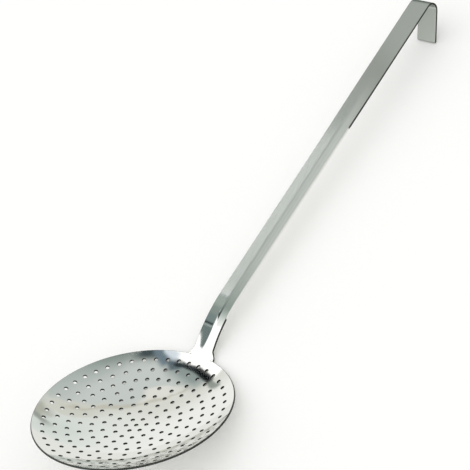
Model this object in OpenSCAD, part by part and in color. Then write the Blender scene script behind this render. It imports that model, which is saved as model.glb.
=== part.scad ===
// One-piece skimmer of pressed stainless steel sheet.
// It lies as it comes to rest: the bowl's underside and the end of the hook touch z = 0,
// the handle runs along +X, and the origin is where the bowl touches down.

/* [Bowl] */
// Diameter of the rim, across its upper edge
bowl_d = 200; // [150:1:260]
// Depth from the rim to the floor of the bowl
bowl_depth = 21.6; // [19:0.1:30]
// Radius of the round floor that curves least
floor_r = 50; // [35:1:60]
// Radius of curvature of that floor
floor_curve_r = 300; // [250:5:500]
// Thickness of the sheet, the same all over
sheet_t = 2; // [1.2:0.1:3]

/* [Holes] */
// Diameter of each drain hole
hole_d = 3.9; // [2:0.1:6]
// Plain band between the rim and the outermost ring of holes
rim_band = 10; // [8:0.5:16]
// Distance from one ring of holes to the next
ring_pitch = 11.4; // [10:0.1:12.5]
// Turn of the rings about the bowl's middle, away from the handle
ring_turn = 3.5; // [0:0.5:10]

/* [Neck] */
// Angle between the neck and the rim's plane, where the neck leaves the rim
neck_angle = 51; // [42:1:58]
// Radius of the bend that brings the wall of the bowl up into the neck
root_bend_r = 20; // [14:1:30]
// Radius of the long bend from the neck into the handle
neck_bend_r = 155; // [110:5:220]
// How far inside the rim the wall starts to turn up into the neck
root_inset = 5; // [4:0.5:8]
// Radius of the fillets between the neck's sides and the rim
root_fillet_r = 4; // [3:0.5:6]

/* [Handle] */
// Width of the flat strip
handle_w = 24.5; // [18:0.5:32]
// Angle between the handle and the rim's plane
handle_angle = 26.5; // [20:0.5:32]
// Length of the straight part, from the neck's bend to the hook's bend
handle_len = 385; // [300:1:460]

/* [Groove] */
// Angle that each side of the groove rises from the flat
groove_angle = 18; // [8:1:24]
// Inner radius of the crease along the groove's middle
crease_r = 8; // [5:0.5:12]
// Distance over which the groove deepens from the rim up the neck
groove_rise = 30; // [22:1:45]
// Distance over which the groove fades out into the flat strip
groove_fade = 140; // [80:5:180]
// Length of flat strip between the end of the groove and the hook's bend
flat_len = 60; // [40:1:80]

/* [Hook] */
// Outer radius of the hook's bend
hook_r = 10.5; // [6:0.5:14]
// Angle that the strip is bent through at the hook
hook_angle = 130; // [115:1:136]
// Length of the straight tail beyond the bend
tail_len = 35; // [28:1:50]

/* [Hidden] */
$fn = 96;

// Number of holes in each ring, from the middle outwards, and how far a ring is turned past the others
RING_HOLES = [6, 12, 16, 24, 24, 36, 36, 45];
RING_SHIFT = [0, 0, 0, 0, 0, 0, -3.1, 1.8];
// Least width of sheet between the holes of a ring: a ring without room for it is left out
HOLE_WEB = 1.5;
// Steps along the root bend, the neck and the groove's fade, and across each side of the crease
ROOT_STEPS = 6;
NECK_STEPS = 10;
FADE_STEPS = 12;
CREASE_STEPS = 3;
// How far an arc stands outside the line or arc that it runs into, so that the two cross cleanly
ARC_STEP = 0.002;
// How near the root comes to the outermost holes inside the wall, and how deep it lies in the sheet there
ROOT_CLEARANCE = 0.5;
ROOT_TOP = 0.3;
ROOT_BOTTOM = 0.7;

// The bowl's section is two arcs that meet in one tangent: the floor, then the steeper wall
rim_r = bowl_d / 2;
floor_edge_angle = asin(floor_r / floor_curve_r);
floor_rise = floor_curve_r * (1 - cos(floor_edge_angle));
rim_angle = 2 * atan((bowl_depth - floor_rise) / (rim_r - floor_r)) - floor_edge_angle;
wall_curve_r = (rim_r - floor_r) / (sin(rim_angle) - sin(floor_edge_angle));
floor_centre_z = floor_curve_r - bowl_depth;
wall_centre = [
    floor_r - wall_curve_r * sin(floor_edge_angle),
    floor_rise - bowl_depth + wall_curve_r * cos(floor_edge_angle)
];

// Slope and height of the bowl's upper surface at a distance from its axis
function bowl_slope(r) =
    r <= floor_r ? asin(r / floor_curve_r) : asin((r - wall_centre.x) / wall_curve_r);
function bowl_z(r) =
    r <= floor_r
        ? floor_centre_z - floor_curve_r * cos(bowl_slope(r))
        : wall_centre.y - wall_curve_r * cos(bowl_slope(r));

// Middle line of the strip's upper edges, in the plane of the handle: two arcs and a straight
root_start = [rim_r - root_inset, bowl_z(rim_r - root_inset)];
root_slope = bowl_slope(rim_r - root_inset);
root_len = root_bend_r * (neck_angle - root_slope) * PI / 180;
neck_len = neck_bend_r * (neck_angle - handle_angle) * PI / 180;
neck_start = root_start + root_bend_r * [
    sin(neck_angle) - sin(root_slope), cos(root_slope) - cos(neck_angle)
];
handle_start = neck_start + neck_bend_r * [
    sin(neck_angle) - sin(handle_angle), cos(handle_angle) - cos(neck_angle)
];
handle_dir = [cos(handle_angle), sin(handle_angle)];
strip_len = root_len + neck_len + handle_len;
// The strip is drawn from the point where its groove has faded out, with x along the handle
flat_start = handle_start + (handle_len - flat_len) * handle_dir;
function from_flat(p) = [(p - flat_start) * handle_dir, (p - flat_start) * [-handle_dir.y, handle_dir.x]];

// Slope and place of that line at a distance along it
function line_slope(s) =
    s <= root_len ? root_slope + s / root_bend_r * 180 / PI
    : s <= root_len + neck_len ? neck_angle - (s - root_len) / neck_bend_r * 180 / PI
    : handle_angle;
function line_point(s) =
    let (a = line_slope(s))
    s <= root_len ? root_start + root_bend_r * [sin(a) - sin(root_slope), cos(root_slope) - cos(a)]
    : s <= root_len + neck_len
        ? neck_start + neck_bend_r * [sin(neck_angle) - sin(a), cos(a) - cos(neck_angle)]
        : handle_start + (s - root_len - neck_len) * handle_dir;

// The groove's side angle along the strip: it deepens up the neck and fades out before the hook
groove_start = root_len / 2;
fade_end = strip_len - flat_len;
fade_start = fade_end - groove_fade;
function ease(x) = x * x * (3 - 2 * x);
function groove_at(s) =
    s <= groove_start ? 0
    : s < groove_start + groove_rise
        ? groove_angle * (1 - pow(1 - (s - groove_start) / groove_rise, 2))
    : s <= fade_start ? groove_angle
    : s < fade_end ? groove_angle * ease((fade_end - s) / groove_fade)
    : 0;

// Half of the strip's width: it flares in two fillets where it leaves the rim
function flare_at(s) =
    let (x = min(max(s - root_len / 2, 0) / root_fillet_r, 1))
    root_fillet_r * (1 - sqrt(1 - pow(1 - x, 2)));

// Section across the strip, from one edge to the other, as distances along the sheet
CREASE = [for (i = [-CREASE_STEPS : CREASE_STEPS]) i / CREASE_STEPS];
function across(half_w, bend) = concat([-half_w], [for (c = CREASE) c * bend], [half_w]);
// Sideways place and height of a point of the section, with the sides rising at angle g
function side_x(q, bend, g) =
    g == 0 ? q
    : sign(q) * (bend / (g * PI / 180) * sin(g * min(abs(q) / bend, 1)) + max(abs(q) - bend, 0) * cos(g));
function side_z(q, bend, g) =
    g == 0 ? 0
    : bend / (g * PI / 180) * (1 - cos(g * min(abs(q) / bend, 1))) + max(abs(q) - bend, 0) * sin(g);
function side_slope(q, bend, g) = g * sign(q) * min(abs(q) / bend, 1);

// One ring of points round the strip's section at a distance along it, top first and then bottom
function strip_ring(s) =
    let (
        half_w = handle_w / 2 + flare_at(s),
        bend = crease_r * groove_angle * PI / 180,
        g = groove_at(s),
        a = line_slope(s),
        p = line_point(s),
        edge_z = side_z(half_w, bend, g),
        q = across(half_w, bend),
        top = [for (v = q) [side_x(v, bend, g), side_z(v, bend, g) - edge_z]],
        under = [for (i = [0 : len(q) - 1])
            let (b = side_slope(q[i], bend, g)) top[i] + sheet_t * [sin(b), -cos(b)]],
        loop = concat(top, [for (i = [len(q) - 1 : -1 : 0]) under[i]])
    )
    [for (v = loop)
        let (w = from_flat(p + v.y * [-sin(a), cos(a)]))
        [w.x, v.x, w.y]];

// The strip's first ring lies thin inside the bowl's wall, so that the two are one solid
function buried_ring() =
    let (
        r = rim_r - rim_band + hole_d / 2 + ROOT_CLEARANCE,
        a = bowl_slope(r),
        half_w = handle_w / 2 + root_fillet_r,
        q = across(half_w, crease_r * groove_angle * PI / 180),
        loop = concat(
            [for (v = q) [v, -ROOT_TOP]],
            [for (i = [len(q) - 1 : -1 : 0]) [q[i], -ROOT_BOTTOM]]
        )
    )
    [for (v = loop)
        let (w = from_flat([sqrt(r * r - v.x * v.x), bowl_z(r)] + v.y * sheet_t * [-sin(a), cos(a)]))
        [w.x, v.x, w.y]];

strip_stations = concat(
    [for (i = [2 : ROOT_STEPS]) root_len * i / ROOT_STEPS],
    [for (i = [1 : NECK_STEPS]) root_len + neck_len * i / NECK_STEPS],
    [for (i = [0 : FADE_STEPS]) fade_start + groove_fade * i / FADE_STEPS]
);
strip_rings = concat([buried_ring()], [for (s = strip_stations) strip_ring(s)]);

// Hook, in the strip's own frame: the centre of its bend and the line of its tail
hook_centre = [flat_len, -hook_r];
tail_dir = [cos(hook_angle), -sin(hook_angle)];
tail_out = [sin(hook_angle), cos(hook_angle)];
tail_end = hook_centre + hook_r * tail_out + tail_len * tail_dir;

// Direction straight down, swung outwards by an angle
function down(a) = [sin(a), -cos(a)];
// Slope of a line that runs along v
function slope_of(v) = atan2(v.y, v.x);

// Rest, in the bowl's frame: the line that touches the end of the tail and the wall's underside, or the
// rim's lower edge where the wall is too shallow for it
under_r = wall_curve_r + sheet_t;
tail_tip = flat_start + tail_end.x * handle_dir + tail_end.y * [-handle_dir.y, handle_dir.x];
wall_tilt = slope_of(tail_tip - wall_centre) + asin(under_r / norm(tail_tip - wall_centre));
rim_tilt = slope_of(tail_tip - wall_centre - under_r * down(rim_angle));
rest_tilt = wall_tilt < rim_angle ? wall_tilt : rim_tilt;
rest_point = wall_centre + under_r * down(min(rest_tilt, rim_angle));

// Everything on the wall's side of the line on which the floor's arc meets the wall's
module wall_side() {
    reach = 3 * max(floor_curve_r, wall_curve_r);
    translate(wall_centre)
        rotate(floor_edge_angle)
            translate([0, -reach])
                square([reach, 2 * reach]);
}

module floor_circle(t) {
    translate([0, floor_centre_z])
        circle(r = floor_curve_r + t);
}

module wall_circle(t) {
    translate(wall_centre)
        circle(r = wall_curve_r + t);
}

// Space inside the bowl above a surface that lies t below the upper one: the wall's arc cuts the floor's
// circle down where it is the tighter of the two, and adds to it where it is the wider
module inside_bowl(t) {
    if (wall_curve_r < floor_curve_r)
        difference() {
            floor_circle(t);
            difference() {
                wall_side();
                wall_circle(t + ARC_STEP);
            }
        }
    else
        union() {
            floor_circle(t);
            intersection() {
                wall_side();
                wall_circle(t - ARC_STEP);
            }
        }
}

// Half of the bowl's section, cut square to the sheet at the rim
module bowl_section() {
    reach = 2 * wall_curve_r;
    intersection() {
        difference() {
            inside_bowl(sheet_t);
            inside_bowl(0);
        }
        polygon([
            [0, wall_centre.y + wall_centre.x / tan(rim_angle)],
            wall_centre + reach * down(rim_angle),
            [0, -reach]
        ]);
    }
}

// A hole pierced square to the sheet
module drain_hole(r, turn) {
    rotate([0, 0, turn])
        translate([r, 0, bowl_z(r)])
            rotate([0, -bowl_slope(r), 0])
                cylinder(d = hole_d, h = 4 * sheet_t, center = true);
}

module drain_holes() {
    drain_hole(0, 0);
    for (k = [0 : len(RING_HOLES) - 1]) {
        ring_r = rim_r - rim_band - (len(RING_HOLES) - 1 - k) * ring_pitch;
        if (2 * PI * ring_r / RING_HOLES[k] > hole_d + HOLE_WEB)
            for (i = [0 : RING_HOLES[k] - 1])
                drain_hole(ring_r, ring_turn + RING_SHIFT[k] + i * 360 / RING_HOLES[k]);
    }
}

module bowl() {
    difference() {
        rotate_extrude()
            bowl_section();
        drain_holes();
    }
}

// Neck and grooved part of the handle, as one skin over the rings of the section
module grooved_strip() {
    n = len(strip_rings[0]);
    last = len(strip_rings) - 1;
    points = [for (ring = strip_rings) each ring];
    sides = [for (i = [0 : last - 1], j = [0 : n - 1])
        let (a = i * n + j, b = i * n + (j + 1) % n)
        each [[a, b, b + n], [a, b + n, a + n]]];
    caps = [for (j = [0 : n / 2 - 2], k = [0, 1])
        let (a = j, b = j + 1, c = n - 2 - j, d = n - 1 - j, e = last * n)
        each k == 0 ? [[a, c, b], [a, d, c]] : [[a + e, b + e, c + e], [a + e, c + e, d + e]]];
    polyhedron(points = points, faces = concat(sides, caps));
}

// Area under the flat strip and within the hook, from a line that lies t below the outer face
module within_hook(t) {
    past = t == 0 ? 0 : sheet_t;
    bend_r = hook_r - t;
    corner = bend_r / cos(hook_angle / 2) * [sin(hook_angle / 2), cos(hook_angle / 2)];
    deep = 2 * sheet_t + past;
    end = tail_end + past * tail_dir;
    difference() {
        polygon([[-past, -t], hook_centre + corner, end - t * tail_out, end - deep * tail_out, [-past, -deep]]);
        translate(hook_centre)
            difference() {
                polygon([[0, 0], [0, 2 * hook_r], 2 * corner, 2 * hook_r * tail_out]);
                circle(r = bend_r + ARC_STEP);
            }
    }
}

// Flat end of the handle and the hook, bent from the same strip
module hook() {
    translate([0, handle_w / 2, 0])
        rotate([90, 0, 0])
            linear_extrude(height = handle_w)
                difference() {
                    within_hook(0);
                    within_hook(sheet_t);
                }
}

module skimmer() {
    color("silver")
        rotate([0, rest_tilt, 0])
            translate([-rest_point.x, 0, -rest_point.y])
                union() {
                    bowl();
                    translate([flat_start.x, 0, flat_start.y])
                        rotate([0, -handle_angle, 0]) {
                            grooved_strip();
                            hook();
                        }
                }
}

skimmer();
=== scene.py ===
"""A one-piece skimmer of pressed stainless steel sheet, lying on a pale floor under studio light.

Units are metres. The sheet is worked out in the bowl's own frame, where the rim's plane is z = 0, the bowl's
axis is z and the handle leaves along +x. It is then tilted about its resting point on the bowl's underside.
"""

import math
from types import SimpleNamespace

import bpy
import numpy as np
from mathutils import Matrix, Vector
from mathutils.geometry import delaunay_2d_cdt


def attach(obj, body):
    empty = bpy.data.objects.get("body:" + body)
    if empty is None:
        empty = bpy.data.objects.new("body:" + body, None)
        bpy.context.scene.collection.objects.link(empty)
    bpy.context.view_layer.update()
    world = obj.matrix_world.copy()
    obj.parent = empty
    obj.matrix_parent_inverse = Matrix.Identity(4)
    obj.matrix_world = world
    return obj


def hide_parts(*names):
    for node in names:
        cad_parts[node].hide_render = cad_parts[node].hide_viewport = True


bl_info = {
    "name": "Sheet Steel Skimmer",
    "version": (1, 0, 0),
    "blender": (4, 5, 0),
    "location": "View3D > Sidebar > Skimmer",
    "description": "Builds a pressed steel skimmer with its studio",
    "category": "Add Mesh",
}

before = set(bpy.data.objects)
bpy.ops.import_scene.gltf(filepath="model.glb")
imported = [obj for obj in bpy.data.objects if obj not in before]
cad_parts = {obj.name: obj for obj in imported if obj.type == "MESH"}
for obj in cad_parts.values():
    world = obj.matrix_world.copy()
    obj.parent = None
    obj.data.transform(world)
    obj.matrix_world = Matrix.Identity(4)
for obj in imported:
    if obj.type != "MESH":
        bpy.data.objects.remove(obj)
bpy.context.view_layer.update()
NODE = "skimmer"

# Holes in each ring of the bowl, from the middle outwards, and how far each ring is turned, in degrees
RING_HOLES = (6, 12, 16, 24, 24, 36, 36, 45)
RING_SHIFT = (0, 0, 0, 0, 0, 0, -3.1, 1.8)

# Points of the bowl's mesh: round the rim, round each hole and round the guard of points outside each hole,
# and the guard's radius as a share of a hole's diameter
RIM_POINTS = 720
HOLE_POINTS = 28
GUARD_POINTS = 14
GUARD_R = 0.8

# Points between the holes: how far apart those of a circle lie, in metres, from how many diameters apart two
# holes of a ring have one between them, and how far inside the neck's root the last circle lies, in metres
WEB_STEP = 0.003
WEB_GAP = 2.4
ROOT_MARGIN = 0.0006

# Points of each quarter circle that rounds a cut edge off
EDGE_POINTS = 4

# Distance within which two points of the mesh, or two places along the strip, are the same
SAME = 1e-9


def length(name, value, description):
    """A size in metres, shown with the scene's unit."""
    return bpy.props.FloatProperty(
        name=name, default=value, description=description, unit="LENGTH", precision=5, min=0.0
    )


def angle(name, degrees, description):
    """An angle, kept in radians."""
    return bpy.props.FloatProperty(
        name=name, default=math.radians(degrees), description=description, subtype="ANGLE"
    )


def colour(name, value, description):
    """A colour, kept as an sRGB hex value."""
    return bpy.props.StringProperty(name=name, default=value, description=description)


class SkimmerSizes(bpy.types.PropertyGroup):
    """Sizes of the sheet."""

    bowl_d: length("Bowl", 0.200, "Diameter of the rim")
    bowl_depth: length("Depth", 0.0216, "Depth from the rim to the floor of the bowl")
    floor_r: length("Floor radius", 0.050, "Radius of the round floor that curves least")
    floor_curve_r: length("Floor curve", 0.300, "Radius of curvature of that floor")
    sheet_t: length("Sheet", 0.002, "Thickness of the sheet")
    hole_d: length("Hole", 0.0039, "Diameter of each drain hole")
    rim_band: length("Rim band", 0.010, "Plain band between the rim and the outermost ring of holes")
    ring_pitch: length("Ring pitch", 0.0114, "Distance from one ring of holes to the next")
    ring_turn: angle("Ring turn", 3.5, "Turn of the rings about the bowl's axis, away from the handle")
    neck_angle: angle("Neck angle", 51, "Angle between the neck and the rim's plane where it leaves the rim")
    root_bend_r: length("Root bend", 0.020, "Radius of the bend from the bowl's wall up into the neck")
    neck_bend_r: length("Neck bend", 0.155, "Radius of the long bend from the neck into the handle")
    root_inset: length("Root inset", 0.005, "How far inside the rim the wall starts to turn up")
    root_fillet_r: length("Root fillet", 0.004, "Radius of the fillets between neck and rim")
    handle_w: length("Handle width", 0.0245, "Width of the flat strip")
    handle_angle: angle("Handle angle", 26.5, "Angle between the handle and the rim's plane")
    handle_len: length("Handle length", 0.385, "Straight part, from the neck's bend to the hook's bend")
    groove_angle: angle("Groove angle", 18, "Angle that each side of the groove rises from the flat")
    crease_r: length("Crease radius", 0.008, "Inner radius of the crease along the groove's middle")
    groove_rise: length("Groove rise", 0.030, "Distance over which the groove deepens up the neck")
    groove_fade: length("Groove fade", 0.140, "Distance over which the groove fades out into the flat")
    flat_len: length("Flat", 0.060, "Flat strip between the end of the groove and the hook's bend")
    hook_r: length("Hook radius", 0.0105, "Outer radius of the hook's bend")
    hook_angle: angle("Hook angle", 130, "Angle that the strip is bent through at the hook")
    tail_len: length("Tail", 0.035, "Straight tail beyond the hook's bend")
    edge_r: length("Edge radius", 0.0003, "Radius that tumbling left on the cut edges")
    corner_r: length("Corner radius", 0.0012, "Radius of the tail's two corners")
    grip_from: length("Grip from", 0.132, "Distance from the bowl's axis to where the edge is ground smooth")
    grip_to: length("Grip to", 0.350, "Distance from the bowl's axis to the end of that smooth edge")


class SkimmerColours(bpy.types.PropertyGroup):
    """Colours of the steel, the floor and the studio."""

    steel: colour("Steel", "#e0e0dc", "What the bare steel mirrors back")
    # Dark grey of the cut edges: partly the sheared metal, partly painted shade for the shadowed floor that
    # they mirror
    cut_steel_and_shade: colour("Cut steel", "#3e403d", "The grey of the sheet's punched and sheared edges")
    floor: colour("Floor", "#fafaf8", "Pale floor under the skimmer")
    room: colour("Room", "#ebeceb", "Pale lower walls of the studio, as the steel shows them")


def linear(hex_colour):
    """Linear RGBA of an sRGB hex colour."""
    srgb = np.array([int(hex_colour[i : i + 2], 16) for i in (1, 3, 5)]) / 255
    low, high = srgb / 12.92, ((srgb + 0.055) / 1.055) ** 2.4
    return (*np.where(srgb <= 0.04045, low, high), 1.0)


def ease(x):
    """Smooth step: three times the square less twice the cube, held at 0 and 1."""
    x = np.clip(x, 0.0, 1.0)
    return x * x * (3 - 2 * x)


def worked_out(size):
    """The sizes that follow from the driving ones.

    The bowl's section is two arcs in one tangent. An arc's chord has the mean of the slopes at its ends, so
    the rim's slope is twice that of the wall's chord less the floor's slope. The strip's line is a row of
    straights and arcs: root bend, neck bend, handle, hook and tail.
    """
    d = SimpleNamespace()
    d.rim_r = size.bowl_d / 2
    d.floor_slope = math.asin(size.floor_r / size.floor_curve_r)
    floor_rise = size.floor_curve_r * (1 - math.cos(d.floor_slope))
    chord = math.atan2(size.bowl_depth - floor_rise, d.rim_r - size.floor_r)
    d.rim_slope = 2 * chord - d.floor_slope
    d.wall_r = (d.rim_r - size.floor_r) / (math.sin(d.rim_slope) - math.sin(d.floor_slope))
    d.wall_x = size.floor_r - d.wall_r * math.sin(d.floor_slope)
    d.wall_z = floor_rise - size.bowl_depth + d.wall_r * math.cos(d.floor_slope)

    d.root_r = d.rim_r - size.root_inset
    root_z, root_slope = (float(a) for a in bowl_profile(size, d, d.root_r))
    bends = (
        (size.root_bend_r * (size.neck_angle - root_slope), 1 / size.root_bend_r),
        (size.neck_bend_r * (size.neck_angle - size.handle_angle), -1 / size.neck_bend_r),
        (size.handle_len, 0.0),
        (size.hook_r * size.hook_angle, -1 / size.hook_r),
        (size.tail_len, 0.0),
    )
    d.knots = line_knots((d.root_r, root_z), root_slope, bends)
    d.root_end, d.neck_end, d.hook_start, d.hook_end, d.tip = np.cumsum([b[0] for b in bends])
    d.groove_end = d.hook_start - size.flat_len
    d.fade_start = d.groove_end - size.groove_fade
    d.bend = size.crease_r * size.groove_angle
    d.root_half_angle = math.asin((size.handle_w / 2 + size.root_fillet_r) / d.rim_r)

    tip, _ = along_line(d, np.array([d.tip]))
    reach = tip[0] - (d.wall_x, d.wall_z)
    under_r = d.wall_r + size.sheet_t
    d.tilt = math.atan2(reach[1], reach[0]) + math.asin(under_r / math.hypot(*reach))
    d.rest = Vector((d.wall_x + under_r * math.sin(d.tilt), 0.0, d.wall_z - under_r * math.cos(d.tilt)))
    return d


def bowl_profile(size, d, r):
    """Height and slope of the bowl's upper face at distance r from its axis.

    On either arc the slope is the arcsine of the distance from the arc's centre line over its radius, and
    the height is the centre's height less the radius times the slope's cosine.
    """
    on_floor = r <= size.floor_r
    slope = np.where(
        on_floor,
        np.arcsin(np.clip(r / size.floor_curve_r, 0, 1)),
        np.arcsin(np.clip((r - d.wall_x) / d.wall_r, -1, 1)),
    )
    height = np.where(
        on_floor,
        size.floor_curve_r - size.bowl_depth - size.floor_curve_r * np.cos(slope),
        d.wall_z - d.wall_r * np.cos(slope),
    )
    return height, slope


def line_knots(start, slope, bends):
    """Where each straight or arc of a line starts: distance, place, slope and curvature."""
    knots = []
    s, (x, z) = 0.0, start
    for bend_len, curve in bends:
        knots.append((s, x, z, slope, curve))
        turned = slope + curve * bend_len
        if curve:
            x += (math.sin(turned) - math.sin(slope)) / curve
            z += (math.cos(slope) - math.cos(turned)) / curve
        else:
            x += bend_len * math.cos(slope)
            z += bend_len * math.sin(slope)
        s, slope = s + bend_len, turned
    return np.array(knots, float)


def along_line(d, s):
    """Places (x, z) and slopes at distances s along the strip's line.

    An arc adds its curvature times the distance run to the slope, and moves by the change of the slope's
    sine and of its negative cosine, over the curvature. A straight moves by the distance along its slope.
    """
    piece = np.clip(np.searchsorted(d.knots[:, 0], s, side="right") - 1, 0, len(d.knots) - 1)
    start, x, z, slope, curve = np.moveaxis(d.knots[piece], -1, 0)
    run = s - start
    turned = slope + curve * run
    bent = curve != 0
    per = 1 / np.where(bent, curve, 1)
    x = x + np.where(bent, (np.sin(turned) - np.sin(slope)) * per, run * np.cos(slope))
    z = z + np.where(bent, (np.cos(slope) - np.cos(turned)) * per, run * np.sin(slope))
    return np.stack([x, z], -1), turned


def fold(q, bend, rise):
    """Sideways place and height at distance q from a crease whose sides rise at an angle.

    Within the bend the sheet is an arc of radius bend over rise. Beyond it each side is straight.
    """
    rise = np.maximum(rise, 1e-6)
    radius = bend / rise
    turned = rise * np.clip(np.abs(q) / bend, 0, 1)
    over = np.maximum(np.abs(q) - bend, 0)
    aside = np.sign(q) * (radius * np.sin(turned) + over * np.cos(rise))
    return aside, radius * (1 - np.cos(turned)) + over * np.sin(rise)


def groove_rise_at(size, d, s):
    """How steeply the groove's sides rise at distance s: the groove deepens up the neck, then fades out."""
    start = d.root_end / 2
    deepening = 1 - (1 - np.clip((s - start) / size.groove_rise, 0, 1)) ** 2
    return size.groove_angle * deepening * ease((d.groove_end - s) / size.groove_fade)


def half_width(size, d, s):
    """Half of the strip's width: quarter circles flare it to the rim and round off the tail's corners."""
    fillet_r = size.root_fillet_r + size.edge_r
    root = np.clip((s - size.root_inset + size.edge_r) / fillet_r, 0, 1)
    flare = fillet_r * (1 - np.sqrt(1 - (1 - root) ** 2))
    corner = np.clip((s - (d.tip - size.corner_r)) / (size.corner_r - size.edge_r), 0, 1)
    cut = (size.corner_r - size.edge_r) * (1 - np.sqrt(1 - corner**2))
    return size.handle_w / 2 - size.edge_r + flare - cut


def strip_surface(size, d, s, v):
    """Upper face of neck, handle and hook at distance s along the line and share v of the half width.

    The section is a fold, hung by its edges on the strip's line. Inside the rim the face starts on the bowl
    and leaves it smoothly: the bowl's face at the same distance and share has weight 1 at the root and along
    the sides, and gives way to the strip's by smooth steps. Beyond the rim its weight fades over twice the
    way from the root to the rim, and the fourth power of the share keeps it to the sides.
    """
    place, slope = along_line(d, s)
    half = half_width(size, d, s)
    rise = groove_rise_at(size, d, s)
    aside, up = fold(v * half, d.bend, rise)
    up = up - fold(half, d.bend, rise)[1]
    strip = np.stack([place[..., 0] - np.sin(slope) * up, aside, place[..., 1] + np.cos(slope) * up], -1)

    rim_s = size.root_inset - size.edge_r
    r = d.root_r + np.minimum(s, 3 * rim_s)
    turn = v * d.root_half_angle
    height, _ = bowl_profile(size, d, r)
    bowl = np.stack([r * np.cos(turn), r * np.sin(turn), height], -1)
    sides = v**4
    inside = 1 - ease(s / rim_s) * (1 - sides)
    beyond = sides * (1 - ease((s - rim_s) / (2 * rim_s)))
    kept = np.where(s < rim_s, inside, beyond)
    return strip + (bowl - strip) * kept[..., None]


def strip_normals(size, d, s, v):
    """Unit normals of strip_surface: the cross product of its central differences along s and v."""
    ds, dv = 2e-6, 1e-4
    along = strip_surface(size, d, s + ds, v) - strip_surface(size, d, s - ds, v)
    across = strip_surface(size, d, s, v + dv) - strip_surface(size, d, s, v - dv)
    normal = np.cross(along, across)
    return normal / np.linalg.norm(normal, axis=-1, keepdims=True)


def bowl_face(size, d, x, y):
    """Points and normals of the bowl's upper face over (x, y): the profile turned about the axis."""
    r = np.hypot(x, y)
    height, slope = bowl_profile(size, d, r)
    inward = -np.sin(slope) / np.maximum(r, SAME)
    return np.stack([x, y, height], -1), np.stack([x * inward, y * inward, np.cos(slope)], -1)


def hole_rings(size, d):
    """Radius, turn and number of holes of each ring, from the middle outwards."""
    last = len(RING_HOLES) - 1
    return [
        (d.rim_r - size.rim_band - (last - k) * size.ring_pitch, size.ring_turn + math.radians(shift), count)
        for k, (count, shift) in enumerate(zip(RING_HOLES, RING_SHIFT))
    ]


def hole_places(size, d):
    """Distance from the axis and turn of every hole: one in the middle and rings around it."""
    radii, turns = [np.zeros(1)], [np.zeros(1)]
    for r, first, count in hole_rings(size, d):
        radii.append(np.full(count, r))
        turns.append(first + np.arange(count) * 2 * math.pi / count)
    return np.concatenate(radii), np.concatenate(turns)


def hole_loops(size, d, radius, sides):
    """Points round every hole, in plan: circles square to the sheet, which the slope's cosine narrows."""
    r, turn = (a[:, None] for a in hole_places(size, d))
    _, slope = bowl_profile(size, d, r)
    around = -np.arange(sides) * 2 * math.pi / sides
    out, aside = r + radius * np.cos(around) * np.cos(slope), radius * np.sin(around)
    x = out * np.cos(turn) - aside * np.sin(turn)
    y = out * np.sin(turn) + aside * np.cos(turn)
    return np.stack([x, y], -1)


def closed_edges(loop):
    """Pairs of neighbours along a closed loop of vertex numbers."""
    return np.stack([loop, np.roll(loop, -1)], -1)


def strip_grid(size, d):
    """Distances along the strip and shares across it, with rows set where the sheet bends.

    Each stretch is given by its start, its end and its number of rows. Along the root's fillets and the
    tail's corners the rows follow the quarter circles in even steps of their turn.
    """
    rim_s = size.root_inset - size.edge_r
    fillet_r = size.root_fillet_r + size.edge_r
    corner_s = d.tip - size.corner_r
    stretches = (
        (0, rim_s, 9),
        (rim_s + fillet_r, d.neck_end, 50),
        (d.neck_end, d.fade_start, 24),
        (d.fade_start, d.groove_end, 30),
        (d.groove_end, d.hook_start, 6),
        (d.hook_start, d.hook_end, 33),
        (d.hook_end, corner_s, 8),
    )
    rows = [np.linspace(*stretch) for stretch in stretches]
    rows.append(rim_s + fillet_r * (1 - np.cos(np.linspace(0, math.pi / 2, 13))))
    rows.append(corner_s + (size.corner_r - size.edge_r) * np.sin(np.linspace(0, math.pi / 2, 7)))
    s = np.unique(np.round(np.concatenate(rows), 9))
    crease = d.bend / (size.handle_w / 2)
    side = np.linspace(crease, 1, 9)
    v = np.concatenate([-side[::-1], np.linspace(-crease, crease, 13)[1:-1], side])
    return s, v


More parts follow.
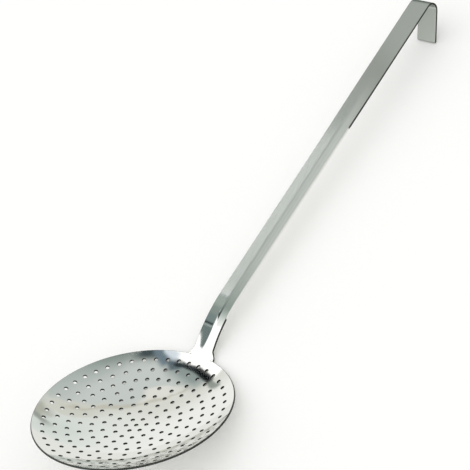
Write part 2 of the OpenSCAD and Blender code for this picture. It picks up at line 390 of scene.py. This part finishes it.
def upper_face(size, d):
    """The whole upper face of the sheet: points, normals, faces, the outline's loop and the holes' loops.

    The bowl is a flat sheet of triangles round the holes, lifted onto the bowl's profile. The strip is a
    grid whose first row and first stretch of each side are vertices of the bowl.
    """
    s, v = strip_grid(size, d)
    rim_s = size.root_inset - size.edge_r
    rim_rows = int(np.searchsorted(s, rim_s - SAME))
    rim_r = d.rim_r - size.edge_r
    half = d.root_half_angle

    rim_turn = np.linspace(half, 2 * math.pi - half, RIM_POINTS)
    root_turn = v * half
    side_r = d.root_r + s[1:rim_rows]
    polar = [
        np.stack([np.full_like(rim_turn, rim_r), rim_turn], -1),
        np.stack([side_r[::-1], np.full_like(side_r, -half)], -1),
        np.stack([np.full_like(root_turn, d.root_r), root_turn], -1),
        np.stack([side_r, np.full_like(side_r, half)], -1),
    ]
    counts = np.cumsum([0] + [len(p) for p in polar])
    border = np.concatenate(polar)
    border = border[:, :1] * np.stack([np.cos(border[:, 1]), np.sin(border[:, 1])], -1)

    loops = hole_loops(size, d, size.hole_d / 2 + size.edge_r, HOLE_POINTS)
    guard = hole_loops(size, d, size.hole_d * GUARD_R, GUARD_POINTS)
    between = web_points(size, d)
    plan = np.concatenate([border, loops.reshape(-1, 2), guard.reshape(-1, 2), between])
    hole_ids = len(border) + np.arange(len(loops) * HOLE_POINTS).reshape(-1, HOLE_POINTS)
    edges = np.concatenate([closed_edges(np.arange(len(border)))] + [closed_edges(h) for h in hole_ids])
    laid = delaunay_2d_cdt(plan.tolist(), edges.tolist(), [], 0, SAME, False)
    if len(laid[0]) != len(plan):
        raise RuntimeError("the bowl's flat pattern crosses itself")
    tris = np.array(laid[2], np.int64)
    middle = plan[tris].mean(1)
    r, turn = np.hypot(*middle.T), np.arctan2(middle[:, 1], middle[:, 0])
    in_root = (np.abs(turn) < half) & (r > d.root_r - ROOT_MARGIN / 4)
    hole_of = np.full(len(plan), -1)
    hole_of[hole_ids] = np.arange(len(hole_ids))[:, None]
    in_hole = (hole_of[tris] == hole_of[tris[:, :1]]).all(1) & (hole_of[tris[:, 0]] >= 0)
    tris = tris[~in_root & ~in_hole]
    points, normals = bowl_face(size, d, *plan.T)

    grid_s, grid_v = np.meshgrid(s, v, indexing="ij")
    ids = len(points) + np.arange(grid_s.size).reshape(grid_s.shape)
    right, root, left = (np.arange(counts[k], counts[k + 1]) for k in (1, 2, 3))
    ids[0] = root
    ids[1:rim_rows, 0] = right[::-1]
    ids[1:rim_rows, -1] = left
    ids[rim_rows, 0], ids[rim_rows, -1] = counts[1] - 1, 0
    quads = np.stack([ids[:-1, :-1], ids[1:, :-1], ids[1:, 1:], ids[:-1, 1:]], -1).reshape(-1, 4)
    points = np.concatenate([points, strip_surface(size, d, grid_s, grid_v).reshape(-1, 3)])
    normals = np.concatenate([normals, strip_normals(size, d, grid_s, grid_v).reshape(-1, 3)])

    outline = np.concatenate(
        [np.arange(counts[1]), ids[rim_rows + 1 :, 0], ids[-1, 1:-1], ids[rim_rows + 1 :, -1][::-1]]
    )
    used = np.zeros(len(points), bool)
    used[tris] = True
    used[quads] = True
    number = np.cumsum(used) - 1
    faces = [number[tris], number[quads]]
    return points[used], normals[used], faces, number[outline], number[hole_ids]


def web_points(size, d):
    """Points of the sheet between the holes, in plan.

    A circle of them lies outside each ring, halfway to the next one or, from the last ring, just inside the
    neck's root. Where a ring has room, one lies between each two of its holes.
    """
    spots = []
    rings = hole_rings(size, d)
    for r, first, count in rings:
        turn = first + (np.arange(count) + 0.5) * 2 * math.pi / count
        gap = 2 * math.pi * r / count
        if gap > WEB_GAP * size.hole_d:
            spots.append(np.stack([np.full(count, r), turn], -1))
        outer = d.root_r - ROOT_MARGIN if r == rings[-1][0] else r + size.ring_pitch / 2
        circle = round(2 * math.pi * outer / WEB_STEP)
        spots.append(np.stack([np.full(circle, outer), np.arange(circle) * 2 * math.pi / circle], -1))
    r, turn = np.concatenate(spots).T
    return np.stack([r * np.cos(turn), r * np.sin(turn)], -1)


def edge_rows(size, points, normals, loop, outward):
    """Points and normals of the rows that carry the sheet round its cut edge, from the upper face down.

    A row is the edge moved outwards and down: a quarter circle of the edge's radius, the square cut and a
    second quarter circle.
    """
    turn = np.linspace(0, math.pi / 2, EDGE_POINTS)
    out = np.concatenate([np.sin(turn), np.cos(turn)])
    down = np.concatenate([1 - np.cos(turn), size.sheet_t / size.edge_r - 1 + np.sin(turn)])
    face_share = np.concatenate([np.cos(turn), -np.sin(turn)])
    p, n = points[loop], normals[loop]
    rows = p + size.edge_r * (out[:, None, None] * outward - down[:, None, None] * n)
    row_normals = out[:, None, None] * outward + face_share[:, None, None] * n
    return rows[1:-1], row_normals[1:-1]


def loop_outward(points, normals, loop):
    """Directions off the sheet at a loop of its edge: the loop's tangent crossed with the normal."""
    p = points[loop]
    tangent = np.roll(p, -1, axis=-2) - np.roll(p, 1, axis=-2)
    outward = np.cross(tangent, normals[loop])
    return outward / np.linalg.norm(outward, axis=-1, keepdims=True)


def thick_sheet(size, points, normals, faces, loops):
    """Closed sheet from its upper face: the under face lies below it by the thickness, along the normals."""
    count = len(points)
    all_points = [points, points - size.sheet_t * normals]
    all_normals = [normals, -normals]
    all_faces = faces + [f[:, ::-1] + count for f in faces]
    total = 2 * count
    for loop in loops:
        rows, row_normals = edge_rows(size, points, normals, loop, loop_outward(points, normals, loop))
        ids = total + np.arange(rows.shape[0] * len(loop)).reshape(-1, len(loop))
        total += ids.size
        all_points.append(rows.reshape(-1, 3))
        all_normals.append(row_normals.reshape(-1, 3))
        ids = np.concatenate([loop[None], ids, loop[None] + count])
        after = np.roll(ids, -1, axis=1)
        all_faces.append(np.stack([ids[:-1], ids[1:], after[1:], after[:-1]], -1).reshape(-1, 4))
    return np.concatenate(all_points), np.concatenate(all_normals), all_faces


def at_rest(d, points, moved=True):
    """Points, or directions, turned from the bowl's own frame into the frame in which the skimmer lies."""
    turn = np.array(Matrix.Rotation(d.tilt, 3, "Y"))
    return (points - np.array(d.rest) * moved) @ turn.T


def sheared_and_shaded_faces(size, points, faces, holes):
    """Which faces are bare cut metal, which get the cut edges' painted shade: the holes' walls and the
    outline's edge, except along the grip.

    The holes' walls are the last groups of faces, and the outline's edge is the group before them. Along the
    grip the edge is ground smooth for the hand, between two distances from the bowl's axis.
    """
    group = np.repeat(np.arange(len(faces)), [len(f) for f in faces])
    outline = len(faces) - 1 - len(holes)
    along = np.concatenate([points[f, 0].mean(-1) for f in faces])
    grip = (along > size.grip_from) & (along < size.grip_to)
    return (group > outline) | ((group == outline) & ~grip)


def new_mesh(name, points, normals, faces):
    """Smooth mesh object with its exact normals, in the scene."""
    mesh = bpy.data.meshes.new(name)
    mesh.from_pydata(points.tolist(), [], [f for group in faces for f in group.tolist()])
    mesh.update()
    mesh.polygons.foreach_set("use_smooth", np.ones(len(mesh.polygons), bool))
    mesh.normals_split_custom_set_from_vertices(normals.tolist())
    piece = bpy.data.objects.new(name, mesh)
    bpy.context.scene.collection.objects.link(piece)
    return piece


def add_node(tree, kind, settings=None, links=None):
    """Adds a node.

    The settings are its own properties or, by name or number, its inputs' values. The links are the outputs
    that lead to its inputs.
    """
    node = tree.nodes.new("ShaderNode" + kind)
    for key, value in (settings or {}).items():
        if isinstance(key, str) and hasattr(node, key):
            setattr(node, key, value)
        else:
            node.inputs[key].default_value = value
    for key, output in (links or {}).items():
        tree.links.new(output, node.inputs[key])
    return node


def new_material(name):
    """Empty material that uses nodes."""
    material = bpy.data.materials.new(name)
    material.use_nodes = True
    material.node_tree.nodes.clear()
    return material


# The sheet's finish, with lengths in metres: between which places along +x, as it lies, the buffed neck
# turns satin, the roughness of either finish, how much the satin's roughness varies and how wide its patches
# are, and the height, share and width of the waves that the pressing left
SATIN_START = 0.062
SATIN_END = 0.100
BUFFED_ROUGHNESS = 0.07
SATIN_ROUGHNESS = 0.27
PATCH_ROUGHNESS = 0.012
PATCH_WIDTH = 0.004
WAVE_HEIGHT = 0.00012
WAVE_SHARE = 0.6
WAVE_WIDTH = 0.020


def stainless_sheet(colours):
    """Stainless steel sheet: bowl and neck are buffed to a mirror, and handle and hook are left satin.

    The mirror shows the room sharply, in wavy outlines, because the pressing left the sheet a little uneven.
    The satin shows only soft light and dark, in faint patches.
    """
    material = new_material("stainless_sheet")
    tree = material.node_tree
    place = add_node(tree, "TexCoord").outputs["Object"]
    along = add_node(tree, "SeparateXYZ", None, {0: place}).outputs["X"]
    satin = add_node(
        tree, "MapRange", {"interpolation_type": "SMOOTHSTEP", 1: SATIN_START, 2: SATIN_END}, {0: along}
    ).outputs[0]
    rough = add_node(tree, "MapRange", {3: BUFFED_ROUGHNESS, 4: SATIN_ROUGHNESS}, {0: satin}).outputs[0]
    patches = add_node(tree, "TexNoise", {"Scale": 1 / PATCH_WIDTH}, {"Vector": place}).outputs["Fac"]
    uneven = add_node(
        tree,
        "Math",
        {"operation": "MULTIPLY_ADD", 1: PATCH_ROUGHNESS, 2: -PATCH_ROUGHNESS / 2},
        {0: patches},
    ).outputs[0]
    rough = add_node(tree, "Math", {"operation": "MULTIPLY_ADD"}, {0: uneven, 1: satin, 2: rough}).outputs[0]
    swell = add_node(tree, "TexNoise", {"Scale": 1 / WAVE_WIDTH, "Detail": 1.0}, {"Vector": place})
    waves = add_node(
        tree, "Bump", {"Strength": WAVE_SHARE, "Distance": WAVE_HEIGHT}, {"Height": swell.outputs["Fac"]}
    ).outputs[0]
    shader = add_node(
        tree,
        "BsdfPrincipled",
        {"Base Color": linear(colours.steel), "Metallic": 1.0},
        {"Roughness": rough, "Normal": waves},
    )
    add_node(tree, "OutputMaterial", None, {"Surface": shader.outputs[0]})
    return material


def sheared_steel_and_shade(colours):
    """Stainless steel as the punch and the shear left it: dark and matt, a thin line round the sheet. The
    dark grey is partly the sheared metal and partly painted shade for the shadowed floor that the edges
    mirror.
    """
    material = new_material("sheared_steel_and_shade")
    shader = add_node(
        material.node_tree,
        "BsdfPrincipled",
        {"Base Color": linear(colours.cut_steel_and_shade), "Metallic": 1.0, "Roughness": 0.45},
    )
    add_node(material.node_tree, "OutputMaterial", None, {"Surface": shader.outputs[0]})
    return material


class SKIMMER_OT_sheet(bpy.types.Operator):
    """Build the one piece of sheet: bowl, neck, handle and hook"""

    bl_idname = "skimmer.sheet"
    bl_label = "Sheet"

    def execute(self, context):
        size = context.scene.skimmer_sizes
        d = worked_out(size)
        points, normals, faces, outline, holes = upper_face(size, d)
        points, normals, faces = thick_sheet(size, points, normals, faces, [outline, *holes])
        piece = new_mesh("steel_sheet", at_rest(d, points), at_rest(d, normals, moved=False), faces)
        colours = context.scene.skimmer_colours
        piece.data.materials.append(stainless_sheet(colours))
        piece.data.materials.append(sheared_steel_and_shade(colours))
        sheared = sheared_and_shaded_faces(size, points, faces, holes)
        piece.data.polygons.foreach_set("material_index", sheared.astype(np.int32))
        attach(piece, "root")
        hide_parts(NODE)
        return {"FINISHED"}


class SKIMMER_OT_studio(bpy.types.Operator):
    """Lay the pale floor and set the lights and the camera"""

    bl_idname = "skimmer.studio"
    bl_label = "Studio"

    def execute(self, context):
        lay_floor(context.scene.skimmer_colours)
        stand_panel()
        light_studio(context.scene.skimmer_colours)
        place_camera()
        return {"FINISHED"}


# Half the floor's width in metres, and how much light it adds to its own where it is seen or mirrored
FLOOR_HALF = 6.0
FLOOR_LIFT = 0.05


def lay_floor(colours):
    """Flat floor of white paper, wide enough to fill every view: matt, with soft shadows and no gloss."""
    half = FLOOR_HALF
    corners = [(-half, -half, 0), (half, -half, 0), (half, half, 0), (-half, half, 0)]
    mesh = bpy.data.meshes.new("floor")
    mesh.from_pydata(corners, [], [(0, 1, 2, 3)])
    floor = bpy.data.objects.new("floor", mesh)
    bpy.context.scene.collection.objects.link(floor)
    material = new_material("paper_sweep")
    tree = material.node_tree
    paper = add_node(tree, "BsdfDiffuse", {"Color": linear(colours.floor)})
    rays = add_node(tree, "LightPath").outputs
    seen = rays["Is Camera Ray"]
    for kind in ("Is Glossy Ray", "Is Transmission Ray"):
        seen = add_node(tree, "Math", {"operation": "MAXIMUM"}, {0: seen, 1: rays[kind]}).outputs[0]
    lift = add_node(tree, "Math", {"operation": "MULTIPLY", 1: FLOOR_LIFT}, {0: seen})
    glow = add_node(tree, "Emission", None, {"Strength": lift.outputs[0]})
    both = add_node(tree, "AddShader", None, {0: paper.outputs[0], 1: glow.outputs[0]})
    add_node(tree, "OutputMaterial", None, {"Surface": both.outputs[0]})
    mesh.materials.append(material)


# Strength at which the steel, which mirrors three quarters of the light, shows a card in its written colour
AS_SEEN = 1.34

# What stands round the skimmer in the studio, as its bowl and neck mirror it. Each card has its middle in
# degrees, round the compass from +x towards +y and above the floor, its half width and half height, how far
# it is turned, how soft its edges are as a share of its half sizes, its colour as the steel shows it, and
# its strength. A later card covers an earlier one.
BACKDROP = (
    ("far table", (35, 31), (60, 10), 6, (0.3, 0.9), "#d2d4ce", AS_SEEN),
    ("ceiling", (30, 73.2), (110, 45), 8, (0.1, 0.015), "#c3c9c8", AS_SEEN),
    ("ceiling's dim left end", (-34, 45), (34, 60), 0, (0.65, 0.3), "#9ea8a6", AS_SEEN),
    ("dim upper left corner", (-24, 68), (34, 20), 10, (0.6, 0.7), "#86928e", AS_SEEN),
    ("ceiling overhead", (25, 84), (70, 19), 0, (0.3, 0.5), "#6e7876", AS_SEEN),
    ("pale green floor", (22, 9), (16, 12), 0, (0.9, 0.9), "#ced5d3", AS_SEEN),
    ("cream bench", (19, 25), (12, 4.4), 8, (0.3, 0.2), "#cccdc6", AS_SEEN),
    ("pink bench, left", (44.5, 34), (5, 5), 0, (0.25, 0.2), "#dddcd8", AS_SEEN),
    ("pink bench, right", (53.5, 33), (5, 4.4), 0, (0.35, 0.3), "#d9dad6", AS_SEEN),
    ("bench's edge", (36, 29.2), (22, 0.7), 8, (0.3, 0.7), "#bdbbb0", AS_SEEN),
    ("beige box", (10, 15), (6, 4.5), -15, (0.5, 0.4), "#adafa6", AS_SEEN),
    ("taupe box", (13, 9.6), (8, 2), -10, (0.4, 0.6), "#949a94", AS_SEEN),
    ("grey stool", (66, 27.5), (2.4, 4), 0, (0.4, 0.3), "#8c948e", AS_SEEN),
)
LAMPS = (
    ("dark frame overhead", (40, 75), (18, 10), 0, (0.5, 0.4), "#404c50", AS_SEEN),
    ("ceiling above the frame", (30, 82.5), (60, 6.5), 0, (0.2, 0.3), "#98a49f", AS_SEEN),
    ("straight overhead", (92, 87), (42, 7), 0, (0.3, 0.2), "#828e8a", AS_SEEN),
    ("shade beside the lamp", (60, 45), (6.5, 12), 20, (0.8, 0.4), "#8b9796", AS_SEEN),
    ("blue window, top", (51.5, 65), (6.5, 8), 20, (0.5, 0.3), "#6b7b86", AS_SEEN),
    ("blue window, foot", (56.5, 54.5), (4.5, 4), -10, (0.3, 0.3), "#58666e", AS_SEEN),
    ("lamp's black rim, top", (60.5, 52.4), (5, 1.6), -35, (0.3, 0.3), "#222b2e", AS_SEEN),
    ("lamp's black rim, middle", (64.8, 46.5), (2.2, 7), 25, (0.4, 0.2), "#1a2124", AS_SEEN),
    ("lamp's black rim, bottom", (67, 36.5), (3.0, 6.5), 0, (0.3, 0.2), "#0c1011", AS_SEEN),
    ("large white lamp, top", (79.5, 60.5), (17, 18), 25.6, (0.02, 0.1), "#ffffff", 1.5),
    ("large white lamp, middle", (99.5, 50), (30, 20), 0, (0.01, 0.05), "#ffffff", 1.5),
    ("large white lamp, bottom", (104, 8), (26, 32), 0, (0.05, 0.1), "#ffffff", 1.5),
    ("lamp's blue fringe", (61.5, 64), (5, 6), 20, (0.5, 0.5), "#d2dce6", AS_SEEN),
    ("dark stand", (64.8, -8), (1.6, 4), 0, (0.4, 0.4), "#6e6e68", AS_SEEN),
    ("white screen on the left", (172, 34), (48, 38), 0, (0.1, 0.1), "#ffffff", 1.5),
    ("far grey wall", (172, 87.6), (47, 15), 13, (0.08, 0.06), "#7b8a8a", 1.2),
    ("wall's dark foot", (150, 72.6), (27, 3.4), 13, (0.3, 0.3), "#6e7c7c", 1.2),
    ("pale beam on the wall", (162, 78.05), (14, 0.65), 0, (0.3, 0.5), "#9ea9a9", AS_SEEN),
    ("dark gap over the beam", (158.5, 79.85), (8, 0.85), 0, (0.5, 0.5), "#182225", AS_SEEN),
    ("overhead lamp", (5, 73.1), (17, 1.5), 0, (0.15, 0.2), "#ffffff", 3.3),
    ("pale wall behind the camera", (250, 30), (60, 40), 0, (0.1, 0.1), "#f2f6f4", 1.25),
)

# How far the outlines of the backdrop's cards and of the lamps' are ragged, in degrees, and how finely
BACKDROP_RAGGED = 10.0
LAMPS_RAGGED = 3.0
RAGGED_SCALE = 7.0
RAGGED_DETAIL = 4.0

# Where the compass is cut open, in degrees from +x
SEAM = -60

# The grey panel that stands beside the handle, in metres: where its face lies, and between which heights its
# low tones give way to the high ones
PANEL_X = (0.050, 0.620)
PANEL_Y = 0.060
PANEL_Z = (0.004, 0.300)
PANEL_SPLIT = (0.058, 0.090)

# The panel's foot, which lies under the hook: two corners, in x and y, and its height off the floor
FOOT = ((0.400, -0.030), (0.620, 0.060))
FOOT_Z = 0.0006

# The panel's tones. The flat of the handle shows the high ones, and the handle's right side and the hook's
# tail show the low ones. Each is a place along +x in metres and a colour.
HIGH_TONES = (
    (0.05, "#20282c"), (0.06, "#3c474a"), (0.08, "#747f7e"), (0.12, "#9fa7a4"), (0.30, "#b2b8b5"),
    (0.41, "#8a908b"), (0.45, "#9aa09c"),
)
LOW_TONES = (
    (0.05, "#f4f6f5"), (0.07, "#a6b1ae"), (0.08, "#88948f"), (0.15, "#b3b9b6"), (0.30, "#b9bfbc"),
    (0.42, "#989d97"), (0.44, "#717a75"), (0.60, "#404745"),
)


def lit(tint, strength):
    """Colour of light at a strength. The steel shows it as the tint at the strength AS_SEEN."""
    return tuple(strength * c for c in linear(tint)[:3]) + (1.0,)


def studio_card(tree, base, place, card):
    """Lays one card of the studio over what the metal sees so far."""
    _, middle, half, turn, soft, tint, strength = card
    local = add_node(
        tree,
        "Mapping",
        {
            "vector_type": "TEXTURE",
            "Location": (*middle, 0),
            "Rotation": (0, 0, math.radians(turn)),
            "Scale": (*half, 1),
        },
        {"Vector": place},
    ).outputs[0]
    local = add_node(tree, "VectorMath", {"operation": "ABSOLUTE"}, {0: local}).outputs[0]
    across, up, _ = add_node(tree, "SeparateXYZ", None, {0: local}).outputs
    wide, high = (
        add_node(
            tree, "MapRange", {"interpolation_type": "SMOOTHSTEP", 1: 1 + edge, 2: 1 - edge}, {0: off}
        ).outputs[0]
        for off, edge in zip((across, up), soft)
    )
    mask = add_node(tree, "Math", {"operation": "MULTIPLY"}, {0: wide, 1: high}).outputs[0]
    tint = lit(tint, strength)
    return add_node(tree, "Mix", {"data_type": "RGBA", 7: tint}, {0: mask, 6: base}).outputs[2]


def compass(tree, way):
    """Place of a direction in the studio, in degrees: round the compass, from the seam on, and upwards."""
    x, y, z = add_node(tree, "SeparateXYZ", None, {0: way}).outputs
    up = add_node(tree, "Math", {"operation": "ARCSINE"}, {0: z}).outputs[0]
    around = add_node(tree, "Math", {"operation": "ARCTAN2"}, {0: y, 1: x}).outputs[0]
    seam = math.radians(SEAM)
    around = add_node(tree, "Math", {"operation": "WRAP", 1: seam + 2 * math.pi, 2: seam}, {0: around})
    place = add_node(tree, "CombineXYZ", None, {0: around.outputs[0], 1: up}).outputs[0]
    degrees = add_node(tree, "VectorMath", {"operation": "SCALE", "Scale": math.degrees(1)}, {0: place})
    return degrees.outputs[0]


def light_studio(colours):
    """Even soft light on the floor, and a studio of cards that only the metal mirrors."""
    world = bpy.data.worlds.new("studio")
    world.use_nodes = True
    bpy.context.scene.world = world
    tree = world.node_tree
    tree.nodes.clear()
    way = add_node(tree, "TexCoord").outputs["Generated"]
    place = compass(tree, way)
    ruffle = add_node(tree, "TexNoise", {"Scale": RAGGED_SCALE, "Detail": RAGGED_DETAIL}, {"Vector": way})
    ruffle = add_node(
        tree, "VectorMath", {"operation": "SUBTRACT", 1: (0.5, 0.5, 0.5)}, {0: ruffle.outputs["Color"]}
    ).outputs[0]
    seen = add_node(tree, "RGB").outputs[0]
    seen.default_value = lit(colours.room, AS_SEEN)
    for cards, degrees in ((BACKDROP, BACKDROP_RAGGED), (LAMPS, LAMPS_RAGGED)):
        off = add_node(tree, "VectorMath", {"operation": "SCALE", "Scale": degrees}, {0: ruffle}).outputs[0]
        ragged = add_node(tree, "VectorMath", {"operation": "ADD"}, {0: place, 1: off}).outputs[0]
        for card in cards:
            seen = studio_card(tree, seen, ragged, card)

    rays = add_node(tree, "LightPath")
    mirrored = add_node(tree, "Background", {"Strength": 1.0}, {"Color": seen})
    plain = add_node(tree, "Background", {"Color": (1, 1, 1, 1), "Strength": 1.0})
    both = add_node(
        tree,
        "MixShader",
        None,
        {0: rays.outputs["Is Glossy Ray"], 1: plain.outputs[0], 2: mirrored.outputs[0]},
    )
    add_node(tree, "OutputWorld", None, {"Surface": both.outputs[0]})


def stand_panel():
    """Grey panel beside the handle, with its foot under the hook.

    It is a lit board that only the metal sees, so that it darkens neither the floor nor the view. The steel
    shows its tones as soft bands along the handle.
    """
    (x0, x1), (z0, z1) = PANEL_X, PANEL_Z
    corners = [(x0, PANEL_Y, z0), (x1, PANEL_Y, z0), (x1, PANEL_Y, z1), (x0, PANEL_Y, z1)]
    (x0, y0), (x1, y1) = FOOT
    corners += [(x0, y0, FOOT_Z), (x1, y0, FOOT_Z), (x1, y1, FOOT_Z), (x0, y1, FOOT_Z)]
    mesh = bpy.data.meshes.new("grey_panel")
    mesh.from_pydata(corners, [], [(0, 1, 2, 3), (4, 5, 6, 7)])
    panel = bpy.data.objects.new("grey_panel", mesh)
    bpy.context.scene.collection.objects.link(panel)
    for kind in ("camera", "diffuse", "shadow", "transmission", "volume_scatter"):
        setattr(panel, "visible_" + kind, False)

    material = new_material("grey_panel")
    tree = material.node_tree
    place = add_node(tree, "TexCoord").outputs["Object"]
    x, _, z = add_node(tree, "SeparateXYZ", None, {0: place}).outputs
    low, high = (add_node(tree, "ValToRGB", None, {0: x}) for _ in range(2))
    for ramp, stops in ((low.color_ramp, LOW_TONES), (high.color_ramp, HIGH_TONES)):
        while len(ramp.elements) < len(stops):
            ramp.elements.new(0.5)
        for element, (spot, tint) in zip(ramp.elements, stops):
            element.position = spot
            element.color = linear(tint)
    split = add_node(
        tree, "MapRange", {"interpolation_type": "SMOOTHSTEP", 1: PANEL_SPLIT[0], 2: PANEL_SPLIT[1]}, {0: z}
    )
    seen = add_node(
        tree, "Mix", {"data_type": "RGBA"}, {0: split.outputs[0], 6: low.outputs[0], 7: high.outputs[0]}
    ).outputs[2]
    glow = add_node(tree, "Emission", {"Strength": AS_SEEN}, {"Color": seen})
    add_node(tree, "OutputMaterial", None, {"Surface": glow.outputs[0]})
    mesh.materials.append(material)


def place_camera():
    """Long lens that looks down across the skimmer, rolled so that the handle leans to the upper right."""
    aim = Vector((0.1241, 0.0, 0.0667))
    distance = 2.0725
    azimuth, elevation, roll = (math.radians(a) for a in (60.56, -42.95, -33.15))
    level = math.cos(elevation)
    forward = Vector((level * math.cos(azimuth), level * math.sin(azimuth), math.sin(elevation)))
    data = bpy.data.cameras.new("camera")
    data.sensor_width = 36.0
    data.lens = 159.33
    camera = bpy.data.objects.new("camera", data)
    bpy.context.scene.collection.objects.link(camera)
    turn = forward.to_track_quat("-Z", "Y").to_matrix() @ Matrix.Rotation(roll, 3, "Z")
    camera.matrix_world = Matrix.Translation(aim - distance * forward) @ turn.to_4x4()
    bpy.context.scene.camera = camera
    bpy.context.scene.view_settings.view_transform = "Standard"


class SKIMMER_PT_panel(bpy.types.Panel):
    """Lists the skimmer's sizes, colours and steps"""

    bl_idname = "SKIMMER_PT_panel"
    bl_label = "Skimmer"
    bl_space_type = "VIEW_3D"
    bl_region_type = "UI"
    bl_category = "Skimmer"

    def draw(self, context):
        for group in (context.scene.skimmer_sizes, context.scene.skimmer_colours):
            box = self.layout.box()
            for name in type(group).__annotations__:
                box.prop(group, name)
        for operator in OPERATORS:
            self.layout.operator(operator.bl_idname)


OPERATORS = (SKIMMER_OT_sheet, SKIMMER_OT_studio)
CLASSES = (SkimmerSizes, SkimmerColours, *OPERATORS, SKIMMER_PT_panel)


def register():
    for cls in CLASSES:
        bpy.utils.register_class(cls)
    bpy.types.Scene.skimmer_sizes = bpy.props.PointerProperty(type=SkimmerSizes)
    bpy.types.Scene.skimmer_colours = bpy.props.PointerProperty(type=SkimmerColours)


def unregister():
    del bpy.types.Scene.skimmer_colours
    del bpy.types.Scene.skimmer_sizes
    for cls in reversed(CLASSES):
        bpy.utils.unregister_class(cls)


def main():
    """Builds everything in order."""
    register()
    bpy.ops.skimmer.sheet()
    bpy.ops.skimmer.studio()


if __name__ == "__main__":
    main()
